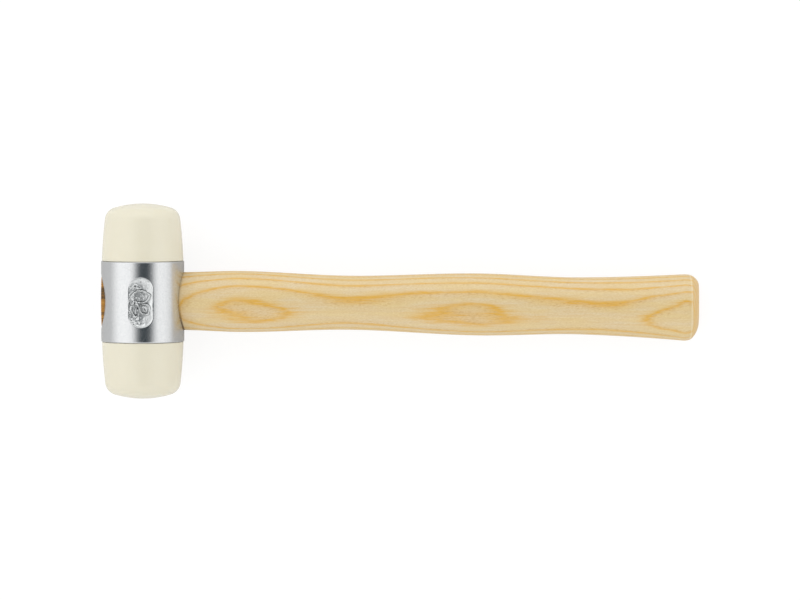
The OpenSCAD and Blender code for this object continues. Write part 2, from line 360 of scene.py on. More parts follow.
def recess_loop(radius):
    """Points round a stadium of the recess's length, or a grid of them for several radii: a spine
    along the striking axis with a circle's radius round it."""
    bend = RECESS_BEND_STEPS
    flank = LOOP_STEPS // 2 - bend
    ends = np.cumsum([0, flank // 2, bend, flank, bend, flank // 2])
    step = np.arange(LOOP_STEPS)
    turn = np.interp(step, ends, [0, 0, np.pi, np.pi, 2 * np.pi, 2 * np.pi])
    along = np.interp(step, ends, RECESS_SPINE * np.array([0, 1, 1, -1, -1, 0]))
    return np.stack([radius * np.cos(turn), along + radius * np.sin(turn)], -1)


def from_spine(x, y):
    """How far a place is from the spine of the recess."""
    return np.hypot(x, y - np.clip(y, -RECESS_SPINE, RECESS_SPINE))


def from_mark(x, y, mark):
    """How far out a place is in an oval mark: 0 in its middle and 1 on its rim."""
    middle_x, middle_y, half_w, half_h = mark
    return np.hypot((x - middle_x) / half_w, (y - middle_y) / half_h)


def ridge(x, y, mark, half_w, share=1.0):
    """A rounded ridge along a mark's rim, or along a smaller oval of the same shape."""
    aside = np.abs(from_mark(x, y, mark) - share) * min(mark[2:])
    return ease(1.5 - aside / half_w)


def relief(x, y, half_w=RIDGE_HALF_W):
    """Height of the foundry marks: three oval ridges, with upright bars in the first, a ring in the
    second and one bar in the third."""
    x, y = x + MARK_WANDER * lumps(x, y, *WANDER_X), y + MARK_WANDER * lumps(x, y, *WANDER_Y)
    bars = ease(3 * np.cos(2 * np.pi * (x - OVAL_MARK[0]) / BAR_PITCH) - 0.9)
    bars = bars * ease((BARS_REACH - from_mark(x, y, OVAL_MARK)) / 0.12)
    bar = ease((BAR_HALF_W - np.abs(x - BAR_MARK[0])) / RIDGE_HALF_W + 0.5)
    bar = bar * ease((BAR_REACH - from_mark(x, y, BAR_MARK)) / 0.1)
    heights = [ridge(x, y, mark, half_w) for mark in (OVAL_MARK, DIAL_MARK, BAR_MARK)]
    heights += [BARS_SHARE * bars, BARS_SHARE * bar]
    heights += [RING_SHARE * ridge(x, y, DIAL_MARK, half_w, RING_REACH)]
    whole = ease(0.75 + 0.7 * lumps(x, y, *WEAR))
    return RELIEF_H * np.max(heights, axis=0) * (MARK_WORN + (1 - MARK_WORN) * whole)


def blemished(x, y):
    """How much of the floor the casting sand has spoilt: patches, mostly in its left half, and none
    near its upper end."""
    left = ease((SPOILT_X - x) / SPOILT_X_FADE) * (1 - ease((y - SPOILT_Y) / SPOILT_Y_FADE))
    return ease(2.2 * lumps(x, y, *BLEMISHES) + 2.4 * left - 1.2)


def recess_floor(x, y):
    """Height of the cast floor above a flat one: a shallow dish, the square of the way out from its
    spine, with the marks, and rough where the sand spoilt it."""
    from_wall = RECESS_W / 2 - RECESS_DRAFT - from_spine(x, y)
    dish = DISH_DEPTH * np.clip(1 - from_wall / DISH_W, 0, 1) ** 2 - DISH_LOW
    uneven = WAVE_H * lumps(x, y, *WAVES) + RIPPLE_H * lumps(x, y, *RIPPLES)
    uneven = uneven * (1 - CALM_SHARE * ease((y - CALM_FROM) / CALM_L))
    rough = uneven + blemished(x, y) * GRIT_H * lumps(x, y, *GRIT)
    return dish + rough + relief(x, y) * ease(from_wall / RELIEF_FADE)


def sand_and_shade_share(x, y):
    """How dark the floor is: with sand left in the casting along the sides of the relief, found
    from the slope of a broader one, with painted shade added on those that face up the recess; with
    sand in chips along the left wall and in the blemishes; and with a patch of painted shade in the
    middle."""
    step = SLOPE_STEP
    slope_x = (relief(x + step, y, SAND_AND_SHADE_HALF_W) - relief(x - step, y, SAND_AND_SHADE_HALF_W)) / (2 * step)
    slope_y = (relief(x, y + step, SAND_AND_SHADE_HALF_W) - relief(x, y - step, SAND_AND_SHADE_HALF_W)) / (2 * step)
    slope = np.hypot(slope_x, slope_y)
    facing_up = np.clip(-slope_y / np.maximum(slope, 0.01), 0, 1)
    steep = ease((slope - SAND_AND_SHADE_SLOPE) / SAND_AND_SHADE_SLOPE_FADE)
    # Painted shade: slopes that face up the recess get more than the least share
    steep = steep * (SAND_AND_SHADE_LEAST + (1 - SAND_AND_SHADE_LEAST) * facing_up)
    pits = ease(3.2 * lumps(x, y, *PITS) - 1.0)
    left_wall = ease((CHIPS_W - x - RECESS_W / 2) / CHIPS_FADE) * (np.abs(y) < CHIPS_HALF_L)
    chips = ease(3.0 * lumps(x, y, *CHIPS) - 0.1) * left_wall
    # Painted shade: a darker patch in the middle of the floor
    dim_patch = DIM_PATCH_SHARE * ease((DIM_PATCH_REACH - from_mark(x, y, DIM_PATCH_MARK)) / DIM_PATCH_FADE)
    dim_patch = dim_patch * ease(0.7 + 0.9 * lumps(x, y, *DIM_PATCH))
    return np.max([steep, chips, pits * blemished(x, y), dim_patch], axis=0)


def recess():
    """The marked side of the body: rows from the panel's edge to the lip of the recess, a wall that
    leaves the side without a crease and eases down to the floor, and the floor, which closes on the
    spine of the recess."""
    facing = (0, 1)
    lip_r, foot_r = RECESS_W / 2 + RECESS_LIP, RECESS_W / 2 - RECESS_DRAFT
    bottom = HEAD_R - RECESS_DEPTH
    lip = recess_loop(lip_r)
    lip_z = np.sqrt(HEAD_R ** 2 - lip[:, 0] ** 2)
    lip = np.column_stack([lip, lip_z])
    shares = np.linspace(0, 1, RECESS_ROWS) ** ROW_POWER
    flat = wrap(between(unrolled(lip, facing), panel_loop(), shares), facing)
    # The casting sand broke away a little along the left lip
    t = np.linspace(0, 1, WALL_ROWS)[:, None]
    step = np.arange(LOOP_STEPS)
    broken = BROKEN_H * lumps(step * RECESS_STEP_L, 0 * step, *BROKEN_LIP)
    broken = broken * ease(-1.6 * lip[:, 0] / lip_r - 0.2)
    radius = lip_r + (foot_r - lip_r) * t + broken * 4 * t * (1 - t)
    wall = recess_loop(radius)
    foot_z = bottom + recess_floor(wall[-1, :, 0], wall[-1, :, 1])
    run_on = (lip_r - foot_r) * lip[:, 0] ** 2 / (lip_r * lip_z)
    wall_z = lip_z + (foot_z - lip_z) * ease(t) + run_on * t * (1 - t) ** 2
    floor = recess_loop(foot_r * np.linspace(1, 0, FLOOR_ROWS)[:, None])
    floor_z = bottom + recess_floor(floor[..., 0], floor[..., 1])
    return [(flat, True), (np.dstack([wall, wall_z]), True), (np.dstack([floor, floor_z]), True)]


def body_end(side):
    """One end of the body: rounded rim, flat seat, chamfered mouth, threaded socket and its floor.
    The other end is the same one turned half round, so that both threads run the same way."""
    half_l = BODY_L / 2
    mouth_r = SPIGOT_R + THREAD_CLEARANCE + SPIGOT_CHAMFER
    seat = np.concatenate([
        arc((HEAD_R - RIM_ROUND, half_l - RIM_ROUND), RIM_ROUND, 0, np.pi / 2, 6),
        np.linspace((HEAD_R - RIM_ROUND, half_l), (mouth_r, half_l), 6)])
    height = np.linspace(0, -SOCKET_DEPTH, THREAD_ROWS)[:, None]
    socket_r = np.maximum(thread_radius(height) + THREAD_CLEARANCE, mouth_r + height)
    inwards = np.linspace(1, 0, DISC_ROWS)[:, None]
    grids = [turned(seat), revolve(socket_r, half_l + height),
             revolve(socket_r[-1] * inwards, half_l - SOCKET_DEPTH)]
    return [(grid * np.array([1, side, side]), True) for grid in grids]


def back_panel():
    """The plain side of the body, away from the recess."""
    u = np.linspace(-1, 1, QUARTER_STEPS + 1) * HEAD_R * np.pi / 4
    y = np.linspace(-1, 1, SIDE_STEPS + 1) * (BODY_L / 2 - RIM_ROUND)
    return [(wrap(np.stack(np.meshgrid(u, y), -1), (0, -1)), False)]


def head_body(material):
    """The body, with what its finish needs on each point: the painted shade round the eye's mouth,
    the cast skin of the recess, and the sand in it with painted shade on its relief."""
    near, near_loop = eye_mouth(1)
    far, far_loop = eye_mouth(-1)
    patches = near + far + eye_wall(near_loop, far_loop) + recess() + back_panel()
    piece = make_piece("hammer_head_body", patches + body_end(1) + body_end(-1))
    x, y, z = hammer_points(piece).T
    sunk = HEAD_R - np.hypot(x, z)
    in_recess = (from_spine(x, y) < RECESS_W / 2 + RECESS_LIP) & (z > 0)
    skin = np.where(in_recess, ease((sunk - SKIN_START) / SKIN_DEPTH), 0)
    outside = np.hypot(y / EYE_RATIO, z) - eye_half_w(x)
    # Painted shade on the metal round the eye's mouth, where the handle enters
    set_share(piece, "eye_rim_shade", np.where(x > 0, ease(1 - outside / EYE_RIM_SHADE_W), 0))
    set_share(piece, "cast_skin", skin)
    # Sand in the casting, with painted shade on the relief
    set_share(piece, "cast_sand_and_shade", skin * sand_and_shade_share(x, y))
    dress(piece, "head_body", material)


# Faces

def circles_meet(c1, r1, c2, r2):
    """The outer of the two points where two circles cross."""
    apart = c2 - c1
    d = np.hypot(*apart)
    u = apart / d
    along = (d * d + r1 * r1 - r2 * r2) / (2 * d)
    across = math.sqrt(r1 * r1 - along * along)
    square = np.array([-u[1], u[0]])
    return c1 + along * u + across * square * (1 if u[1] < 0 else -1)


def face_profile():
    """Half section of a face above its seam: a barrelled side, a rounded edge and a dome, each
    running into the next."""
    barrel_c = np.array([FACE_R - math.sqrt(BARREL_R ** 2 - BARREL_DROP ** 2), -BARREL_DROP])
    dome_c = np.array([0, FACE_L - DOME_R])
    edge_c = circles_meet(barrel_c, BARREL_R - FACE_EDGE_R, dome_c, DOME_R - FACE_EDGE_R)
    side = math.atan2(*(edge_c - barrel_c)[::-1])
    top = math.atan2(*(edge_c - dome_c)[::-1])
    seam = math.asin((BARREL_DROP + SEAM_GAP + SEAM_ROUND) / BARREL_R)
    return np.concatenate([
        arc((FACE_R - SEAM_ROUND, SEAM_GAP + SEAM_ROUND), SEAM_ROUND, -np.pi / 2, 0, 5)[:-1],
        arc(barrel_c, BARREL_R, seam, side, 28),
        arc(edge_c, FACE_EDGE_R, side, top, 18)[1:],
        arc(dome_c, DOME_R, top, np.pi / 2, 20)[1:]])


def face(name, node, side, material):
    """A face and its threaded spigot. The thread runs out below the seat; a chamfer starts it."""
    height = np.linspace(0, -SPIGOT_L, THREAD_ROWS)[:, None]
    runout = ease((-height - THREAD_START) / THREAD_RUNOUT)
    root_r = SPIGOT_R - THREAD_DEPTH
    spigot_r = root_r + (thread_radius(height) - root_r) * runout
    spigot_r = np.minimum(spigot_r, SPIGOT_R - SPIGOT_CHAMFER + SPIGOT_L + height)
    seat = np.concatenate([
        np.linspace((root_r, 0), (SEAM_GAP_R, 0), 6),
        np.linspace((SEAM_GAP_R + SEAM_GAP, SEAM_GAP), (FACE_R - SEAM_ROUND, SEAM_GAP), 4)])
    outwards = np.linspace(0, 1, DISC_ROWS)[:, None]
    grids = [turned(np.concatenate([seat[:-1], face_profile()])), revolve(spigot_r, height),
             revolve(spigot_r[-1] * outwards, -SPIGOT_L)]
    seam = np.array([0, BODY_L / 2, 0])
    piece = make_piece(name, [((g + seam) * np.array([1, side, side]), True) for g in grids])
    dress(piece, node, material)


# Handle

def swelling(x, sizes):
    """A size of the handle that eases from station to station and flares by a power at the last."""
    last = len(STATION_X) - 2
    span = np.clip(np.searchsorted(STATION_X, x, side="right") - 1, 0, last)
    t = (x - STATION_X[span]) / (STATION_X[span + 1] - STATION_X[span])
    share = np.where(span == last, np.clip(t, 0, 1) ** FLARE_POWER, ease(t))
    return sizes[span] + (sizes[span + 1] - sizes[span]) * share


def sections(x, y, half_h, half_t, oval):
    """One section of the handle for each x: half ellipses above and below, with flanks between."""
    angle = around(HANDLE_STEPS)
    sizes = np.broadcast_arrays(x, y, half_h, half_t, oval)
    x, y, half_h, half_t, oval = (size[:, None] for size in sizes)
    end_h = half_t + (half_h - half_t) * oval
    up = y + np.sign(np.round(np.sin(angle), 9)) * (half_h - end_h) + end_h * np.sin(angle)
    return np.stack(np.broadcast_arrays(x, up, half_t * np.cos(angle)), -1)


def tenon_sections():
    """The tenon follows the eye, a fit's gap inside it, and its end has a fine chamfer."""
    x = np.concatenate([
        [TENON_X, TENON_X + TENON_CHAMFER],
        np.linspace(TENON_X + TENON_END_L, 0, 9),
        np.linspace(0, HEAD_R, 10)[1:]])
    half_w = eye_half_w(x) - EYE_FIT
    half_w[0] -= TENON_CHAMFER
    return sections(x, 0.0, half_w * EYE_RATIO, half_w, NECK_OVAL)


def grip_sections():
    """The free length: belly, waist, swell, wrist and flare, on a line that drops to the butt."""
    x = np.linspace(HEAD_R, SWELL_X, GRIP_ROWS)
    free = (x - HEAD_R) / (SWELL_X - HEAD_R)
    to_waist = (x - HEAD_R) / (STATION_X[2] - HEAD_R)
    oval = NECK_OVAL + (GRIP_OVAL - NECK_OVAL) * ease(to_waist)
    return sections(x, -BUTT_DROP * free ** DROP_POWER, swelling(x, STATION_H) / 2,
                    swelling(x, STATION_T) / 2, oval)


def butt_sections():
    """The rounded end: a slight draw-in, then from a crisp line a bevel, part straight and part
    quarter ellipse, down to the flat. The line bows back above and below by a power of the sine."""
    soft = np.linspace(0, BEVEL_START, DRAW_IN_ROWS)
    u = np.sin(np.linspace(0, np.pi / 2, BEVEL_ROWS))
    bevel = BEVEL_FLAT * u + (1 - BEVEL_FLAT) * (1 - np.sqrt(1 - u * u))
    along = np.concatenate([soft, BEVEL_START + (1 - BEVEL_START) * u[1:]])
    drawn = np.concatenate([BEVEL_START_IN * (soft / BEVEL_START) ** 2,
                            BEVEL_START_IN + (1 - BEVEL_START_IN) * bevel[1:]])
    half_h, half_t = STATION_H[-1] / 2 - BUTT_IN * drawn, STATION_T[-1] / 2 - BUTT_IN * drawn
    rings = sections(SWELL_X + (BUTT_X - SWELL_X) * along, BUTT_RISE * drawn - BUTT_DROP,
                     half_h, half_t, GRIP_OVAL)
    reach = np.abs(np.sin(around(HANDLE_STEPS)))
    bow = BEVEL_FLANK - (BEVEL_FLANK + BEVEL_BACK) * reach ** BEVEL_POWER
    rings[..., 0] += np.interp(along, [0, BEVEL_START, 1], [0, 1, 0])[:, None] * bow
    return rings


def capped(rings, rows):
    """The patches of a tube with flat ends: its first and last ring, drawn in to their middles."""
    shares = np.linspace(0, 1, rows)
    ends = [between(ring, ring.mean(axis=0), shares) for ring in (rings[0], rings[-1])]
    return [(grid, True) for grid in (rings, *ends)]


def wedge_solid(name, depth, thick, tip, broad, y=0.0, upright=False):
    """A wedge that starts outside the tenon's end and narrows to its tip, with its fit's gap. It is
    thick along Y and broad along Z, or the other way round if it stands upright."""
    x = np.array([TENON_X - CUT_OVERRUN, TENON_X, TENON_X + depth + WEDGE_FIT])
    half = np.array([thick, thick, tip]) / 2 + WEDGE_FIT
    corner = np.array([[1, 1], [-1, 1], [-1, -1], [1, -1]])
    across = corner[:, 0] * half[:, None]
    along = corner[:, 1] * (broad / 2 + WEDGE_FIT)
    first, second = (along, across) if upright else (across, along)
    rings = np.stack(np.broadcast_arrays(x[:, None], first + y, second), -1)
    return make_piece(name, capped(rings, 2))


def handle(material):
    """Tenon, grip and butt as one skin, with the wedges' slots cut into the tenon."""
    rings = np.concatenate([tenon_sections(), grip_sections()[1:], butt_sections()[1:]])
    piece = make_piece("ash_handle", capped(rings, END_ROWS), sharp_degrees=12)
    cut(piece, wedge_solid("kerf", broad=EYE_RATIO * EYE_W, upright=True, **WOOD_WEDGE))
    for side in (-1, 1):
        slot_y = side * STEEL_WEDGE_PITCH / 2
        cut(piece, wedge_solid("slot", broad=STEEL_WEDGE_B, y=slot_y, **STEEL_WEDGE))
    dress(piece, "handle", material)


# Wiring of materials

def feed(socket, value):
    """Links a signal or an output to a socket, or sets the socket's own value."""
    if isinstance(value, Signal):
        value = value.socket
    if isinstance(value, bpy.types.NodeSocket):
        socket.id_data.links.new(value, socket)
    else:
        socket.default_value = value


def give(node, inputs):
    """Feeds a node's inputs, by name or number."""
    for key, value in dict(inputs).items():
        feed(node.inputs[key], value)


def place(tree, kind, inputs=(), **settings):
    """A new node with its settings and its inputs."""
    node = tree.nodes.new(kind)
    for name, value in settings.items():
        setattr(node, name, value)
    give(node, inputs)
    return node


def output(tree, kind, inputs=(), key=0, **settings):
    """One output of a new node, as a signal."""
    return Signal(place(tree, kind, inputs, **settings).outputs[key])


class Signal:
    """A value that nodes work out. Sums on it are written as on a plain number."""

    def __init__(self, socket):
        self.socket = socket
        self.tree = socket.id_data

    def maths(self, operation, *others):
        """One sum on this number and others."""
        return output(self.tree, "ShaderNodeMath", enumerate((self, *others)), operation=operation)

    def __add__(self, other):
        return self.maths("ADD", other)

    def __sub__(self, other):
        return self.maths("SUBTRACT", other)

    def __rsub__(self, other):
        return self.maths("MULTIPLY_ADD", -1.0, other)

    def __mul__(self, other):
        return self.maths("MULTIPLY", other)

    def __truediv__(self, other):
        return self.maths("DIVIDE", other)

    def __pow__(self, other):
        return self.maths("POWER", other)

    def __abs__(self):
        return self.maths("ABSOLUTE")

    def remap(self, low, high, to_low=0.0, to_high=1.0, smooth=True):
        """The number carried from one range to another, and held at its ends."""
        kind = "SMOOTHSTEP" if smooth else "LINEAR"
        inputs = {"Value": self, "From Min": low, "From Max": high,
                  "To Min": to_low, "To Max": to_high}
        return output(self.tree, "ShaderNodeMapRange", inputs, interpolation_type=kind, clamp=True)

    def ramp(self, stops):
        """Shades of grey along the number, by (place, grey) stops."""
        node = place(self.tree, "ShaderNodeValToRGB", {0: self})
        elements = node.color_ramp.elements
        for spare in range(len(stops) - 2):
            elements.new((spare + 1) / len(stops))
        for element, (where, grey) in zip(elements, stops):
            element.position = where
            element.color = (grey, grey, grey, 1)
        return Signal(node.outputs[0])

    def axes(self):
        """The X, Y and Z of a vector."""
        parts = place(self.tree, "ShaderNodeSeparateXYZ", {0: self}).outputs
        return [Signal(part) for part in parts]

    def stretch(self, scale):
        """A vector times another, axis by axis."""
        return output(self.tree, "ShaderNodeVectorMath", {0: self, 1: scale}, operation="MULTIPLY")

    def dot(self, fixed):
        """The part of a vector along a fixed one."""
        inputs = {0: self, 1: fixed}
        return output(self.tree, "ShaderNodeVectorMath", inputs, "Value", operation="DOT_PRODUCT")

    def noise(self, size, detail=2.0, roughness=0.5):
        """Cloudy values from 0 to 1, with lumps of one size in mm, or of one along each axis."""
        stretched = self.stretch([1 / s for s in np.broadcast_to(size, 3)])
        inputs = {"Vector": stretched, "Scale": 1.0, "Detail": detail, "Roughness": roughness}
        return output(self.tree, "ShaderNodeTexNoise", inputs)


def diagonal(first, second):
    """The root of the sum of two squares."""
    return (first * first + second * second).maths("SQRT")


def colour(red, green, blue):
    """A linear colour from the 8-bit values that a screen shows."""
    parts = np.array([red, green, blue]) / 255
    linear = np.where(parts <= 0.04045, parts / 12.92, ((parts + 0.055) / 1.055) ** 2.4)
    return (*(float(v) for v in linear), 1.0)


def tint(share, first, second):
    """A colour between two, by a share."""
    inputs = {0: share, 6: first, 7: second}
    return place(share.tree, "ShaderNodeMix", inputs, data_type="RGBA").outputs[2]


def coats(base, *layers):
    """A colour under layers of 8-bit colours, each laid on by a share times the most it covers."""
    for share, shade, most in layers:
        base = tint(share * most, base, colour(*shade))
    return base


def new_material(name):
    """An empty material with its Principled shader, and the place on the surface in mm, in the
    hammer's own axes."""
    material = bpy.data.materials.new(name)
    material.use_nodes = True
    tree = material.node_tree
    inputs = {"Vector": output(tree, "ShaderNodeTexCoord", key="Object"), "Location": HEAD_CENTRE,
              "Rotation": (0, REST_TILT, 0), "Scale": (MM, MM, MM)}
    spot = output(tree, "ShaderNodeMapping", inputs, vector_type="TEXTURE")
    return material, tree.nodes["Principled BSDF"], spot


def raise_surface(shader, height, distance_mm, strength):
    """Feeds a height map to the shader as bump, with its full height in mm."""
    inputs = {"Strength": strength, "Distance": distance_mm * MM, "Height": height}
    feed(shader.inputs["Normal"], output(shader.id_data, "ShaderNodeBump", inputs))


def new_group(name, inputs, outputs):
    """A node group with a vector for the place in mm, number inputs and number outputs."""
    tree = bpy.data.node_groups.new(name, "ShaderNodeTree")
    tree.interface.new_socket("Place", in_out="INPUT", socket_type="NodeSocketVector")
    for label, value in inputs.items():
        socket = tree.interface.new_socket(label, in_out="INPUT", socket_type="NodeSocketFloat")
        socket.default_value = value
    for label in outputs:
        tree.interface.new_socket(label, in_out="OUTPUT", socket_type="NodeSocketFloat")
    given = tree.nodes.new("NodeGroupInput").outputs
    given = {label: Signal(given[label]) for label in ("Place", *inputs)}
    return tree, given, tree.nodes.new("NodeGroupOutput").inputs


def use_group(group, spot, **inputs):
    """The outputs of a group that is placed in a material."""
    node = place(spot.tree, "ShaderNodeGroup", node_tree=group)
    give(node, {"Place": spot, **inputs})
    return [Signal(socket) for socket in node.outputs]


def wood_fibre_group():
    """Fibres along the handle: fine streaks, the short dark pores that lie between them, and flecks
    where they end."""
    tree, given, out = new_group("wood_fibre", {}, ["Streak", "Pore", "Fleck"])
    spot = given["Place"]
    fine = spot.noise((9.0, 0.22, 0.22), detail=3.0)
    broad = spot.noise((30.0, 1.1, 1.1), detail=2.0)
    feed(out["Streak"], fine * 0.55 + broad * 0.45)
    dashes = spot.noise((2.6, 0.2, 0.2), detail=1.0)
    feed(out["Pore"], dashes.remap(0.54, 0.68))
    flecks = spot.noise((1.2, 0.42, 0.42), detail=2.0, roughness=0.65)
    feed(out["Fleck"], flecks.remap(0.3, 0.7, smooth=False))
    return tree


def soaked_end_group():
    """How far the end of the tenon is soaked with dark sealer, which creeps in along the fibres."""
    tree, given, out = new_group("soaked_end", {"Reach": 2.4}, ["Share"])
    x, _, _ = given["Place"].axes()
    creep = given["Place"].noise((6.0, 0.8, 0.8), detail=2.0)
    limit = given["Reach"] * (creep + 0.5)
    feed(out["Share"], ((x - TENON_X) / limit).remap(0.75, 1.3, 1.0, 0.0))
    return tree


def scuff_group():
    """Fine straight scuffs on a slant: long thin lumps of noise, of which only the peaks stay."""
    tree, given, out = new_group("scuffs", {"Turn": 0.6, "Width": 0.12}, ["Share"])
    shares = []
    for turn, seed in ((1.0, 0.0), (-1.7, 40.0)):
        angle = output(tree, "ShaderNodeCombineXYZ", {2: given["Turn"] * turn})
        inputs = {"Vector": given["Place"], "Rotation": angle, "Location": (seed, seed, 0.0)}
        turned_place = output(tree, "ShaderNodeMapping", inputs)
        thin = output(tree, "ShaderNodeCombineXYZ", {0: 0.05, 1: given["Width"] ** -1.0, 2: 0.3})
        inputs = {"Vector": turned_place.stretch(thin), "Scale": 0.5, "Detail": 2.0}
        shares.append(output(tree, "ShaderNodeTexNoise", inputs).remap(0.66, 0.74))
    feed(out["Share"], shares[0].maths("MAXIMUM", shares[1]))
    return tree


# Finishes

# The pith lies behind the handle and runs a little askew to it
PITH_Y, PITH_SLOPE, PITH_Z = 4.3, -0.0066, -34.0
OUTER_RING_R, LEAST_DEPTH = 47.0, -0.8
RING_STEP, RING_GROWTH = 1.37, 0.14
# How far a ring wanders, and how ragged the fibres make it, in mm
RING_WANDER, RING_RAGGED = 0.12, 0.85
# How far the rings have drifted outwards at places along the handle, in mm
RING_DRIFT = ((20, -0.4), (28, 0.15), (40, 0.58), (90, 0.55), (150, 0.36), (210, -0.38),
              (230, -0.24), (250, -0.05), (275, -0.45), (300, -0.95), (312, -1.1), (326, -1.3),
              (331, -0.9))
DRIFT_SPAN = 3.0
# Swellings of the outermost rings: middle X and Y, half length and height, and how far they swell
RING_SWELLS = ((56, -8.2, 23, 7, -0.4), (198, -2.4, 46, 6, 0.7), (340, -4, 60, 20, 1.35))
# Depth of a ring's colour, and how many pores there are, by the place between one ring and the next
RING_STOPS = ((0, 1), (0.03, 1), (0.09, 0.45), (0.22, 0.1), (0.38, 0),
              (0.62, 0), (0.78, 0.1), (0.91, 0.45), (0.97, 1), (1, 1))
PORE_STOPS = ((0, 0.6), (0.06, 0.2), (0.2, 0.1), (0.6, 0.1), (0.82, 0.8), (0.92, 0.9), (1, 0.6))
# How much warmer the pale wood gets towards +Y, and where the sealer on the tenon's end is darkest
WARMTH_PER_MM = 0.001
STAIN_Y = 5.4
# Painted shade near the head and its reach; the dark joint line, part painted shade: share below
# and above
NECK_SHADE, NECK_SHADE_L = 0.17, 9.0
NECK_LINE, NECK_LINE_W = (0.92, 0.12), 0.95
# How far before the start of the butt's bevel its painted highlight lies
BEVEL_HIGHLIGHT = 0.4


def ring_drift(x):
    """The drift of the rings along the handle, as a smooth curve through its places."""
    start, end = RING_DRIFT[0][0], RING_DRIFT[-1][0]
    node = place(x.tree, "ShaderNodeFloatCurve", {"Value": x.remap(start, end, smooth=False)})
    points = node.mapping.curves[0].points
    for _ in RING_DRIFT[2:]:
        points.new(0.5, 0.5)
    for point, (where, drift) in zip(points, RING_DRIFT):
        point.location = ((where - start) / (end - start), 0.5 + drift / DRIFT_SPAN)
    node.mapping.update()
    return (Signal(node.outputs[0]) - 0.5) * DRIFT_SPAN


def ring_swell(x, y, swell):
    """A local swelling of the rings: full in its middle, eased to nothing on an oval round it."""
    middle_x, middle_y, half_l, half_h, height = swell
    outwards = diagonal((x - middle_x) / half_l, (y - middle_y) / half_h)
    return outwards.remap(0.0, 1.0, height, 0.0)


def growth_rings(spot, streak):
    """Growth rings: circles about a pith that lies behind the handle. A ring's number n grows with
    the depth d below the outermost as d = step n + growth n squared. Each ring is dark on its line
    and fades to both sides; its pores lie next to the line, in the wood that grew after it."""
    x, y, z = spot.axes()
    radius = diagonal(y - (x * PITH_SLOPE + PITH_Y), z - PITH_Z) + ring_drift(x)
    cloud = spot.noise((45.0, 9.0, 9.0), detail=1.0)
    radius = radius + (cloud - 0.5) * RING_WANDER + (streak - 0.5) * RING_RAGGED
    for swell in RING_SWELLS:
        radius = radius + ring_swell(x, y, swell)
    depth = (OUTER_RING_R - radius).maths("MAXIMUM", LEAST_DEPTH)
    root = (depth * (4 * RING_GROWTH) + RING_STEP ** 2).maths("SQRT")
    phase = ((root - RING_STEP) / (2 * RING_GROWTH)).maths("FRACT")
    strength = spot.noise((16.0, 2.0, 2.0), detail=3.0).remap(0.35, 0.6, 0.72, 1.0)
    return phase.ramp(RING_STOPS) * strength, phase.ramp(PORE_STOPS)


def neck_shade(spot, wood):
    """Painted shade darkens the handle towards the head. Where the handle enters the eye lies a
    dark
    line: a dark joint with painted contact shadow, most of all below. Both go by the distance from
    the head's round side."""
    x, y, z = spot.axes()
    away = diagonal(x, z) - HEAD_R
    free = x.maths("GREATER_THAN", 0.0)
    # Painted shade: the handle is darker close to the head
    painted_shade = away.remap(0.0, NECK_SHADE_L, NECK_SHADE, 0.0, smooth=False)
    # The dark joint line, with painted contact shadow, heavier below
    below = y.remap(-STATION_H[0] / 2, 0.0, *NECK_LINE)
    dark_joint_and_shade = away.remap(0.15, NECK_LINE_W, below, 0.0)
    return coats(wood, (painted_shade, (150, 110, 58), free), (dark_joint_and_shade, (84, 56, 14), free))


def past_crease(x, y):
    """How far a place lies past the line where the bevel of the butt starts, in mm. The line bows
    back by a power of the way from the flank to the upper or lower edge, as in butt_sections."""
    half_h, half_t = STATION_H[-1] / 2, STATION_T[-1] / 2
    flank_h = (half_h - half_t) * (1 - GRIP_OVAL)
    reach = abs(y + BUTT_DROP).remap(flank_h, half_h, smooth=False) ** BEVEL_POWER
    crease_x = SWELL_X + (BUTT_X - SWELL_X) * BEVEL_START + BEVEL_FLANK
    return x - crease_x + reach * (BEVEL_FLANK + BEVEL_BACK)


def ash_wood(fibre, soaked):
    """Plain sawn ash under clear satin lacquer: pale wood, honey rings, dark pores in the rings,
    and a tenon end soaked brown; with painted shade next to the head and on the butt's bevel, and a
    painted highlight along the line where the bevel starts."""
    material, shader, spot = new_material("ash_lacquered")
    streak, pore, fleck = use_group(fibre, spot)
    ring, porous = growth_rings(spot, streak)
    pored = porous * pore
    x, y, _ = spot.axes()
    past = past_crease(x, y)
    warm = y * WARMTH_PER_MM + spot.noise((34.0, 5.0, 5.0), detail=3.0)
    ringed = coats(
        tint(warm.remap(0.36, 0.64), colour(223, 207, 172), colour(226, 205, 151)),
        (streak.remap(0.35, 0.75), (219, 191, 141), 1.0),
        (fleck, (203, 174, 122), 0.65),
        (ring, (217, 168, 66), 1.0),
        (pored, (190, 144, 74), 0.9),
        # The butt's bevel darker and more orange: its end grain, with painted shade of the
        # round-over
        (past.remap(-0.1, 0.5), (216, 172, 92), 0.4),
        # Painted highlight: a pale line along the start of the butt's bevel
        (abs(past + BEVEL_HIGHLIGHT).remap(0.1, 0.6, 1.0, 0.0), (238, 224, 190), 0.35))
    band = spot.noise((30.0, 1.1, 6.0), detail=4.0, roughness=0.65)
    band = band - abs(y - STAIN_Y).remap(1.0, 5.0, 0.15, 0.0)
    brown = coats(
        tint(band.remap(0.36, 0.52), colour(42, 20, 2), colour(172, 117, 34)),
        (band.remap(0.56, 0.7), (214, 166, 96), 1.0),
        (ring, (96, 56, 14), 0.2),
        (fleck, (222, 176, 104), 0.3))
    end = use_group(soaked, spot)[0]
    give(shader, {
        "Base Color": tint(end, neck_shade(spot, ringed), brown),
        "Roughness": end * 0.3 + streak.remap(0.3, 0.7, 0.4, 0.52),
        "Coat Weight": end.remap(0.0, 1.0, 0.4, 0.0, smooth=False),
        "Coat Roughness": 0.28})
    raise_surface(shader, streak - pored * 0.8, 0.05, 0.5)
    return material


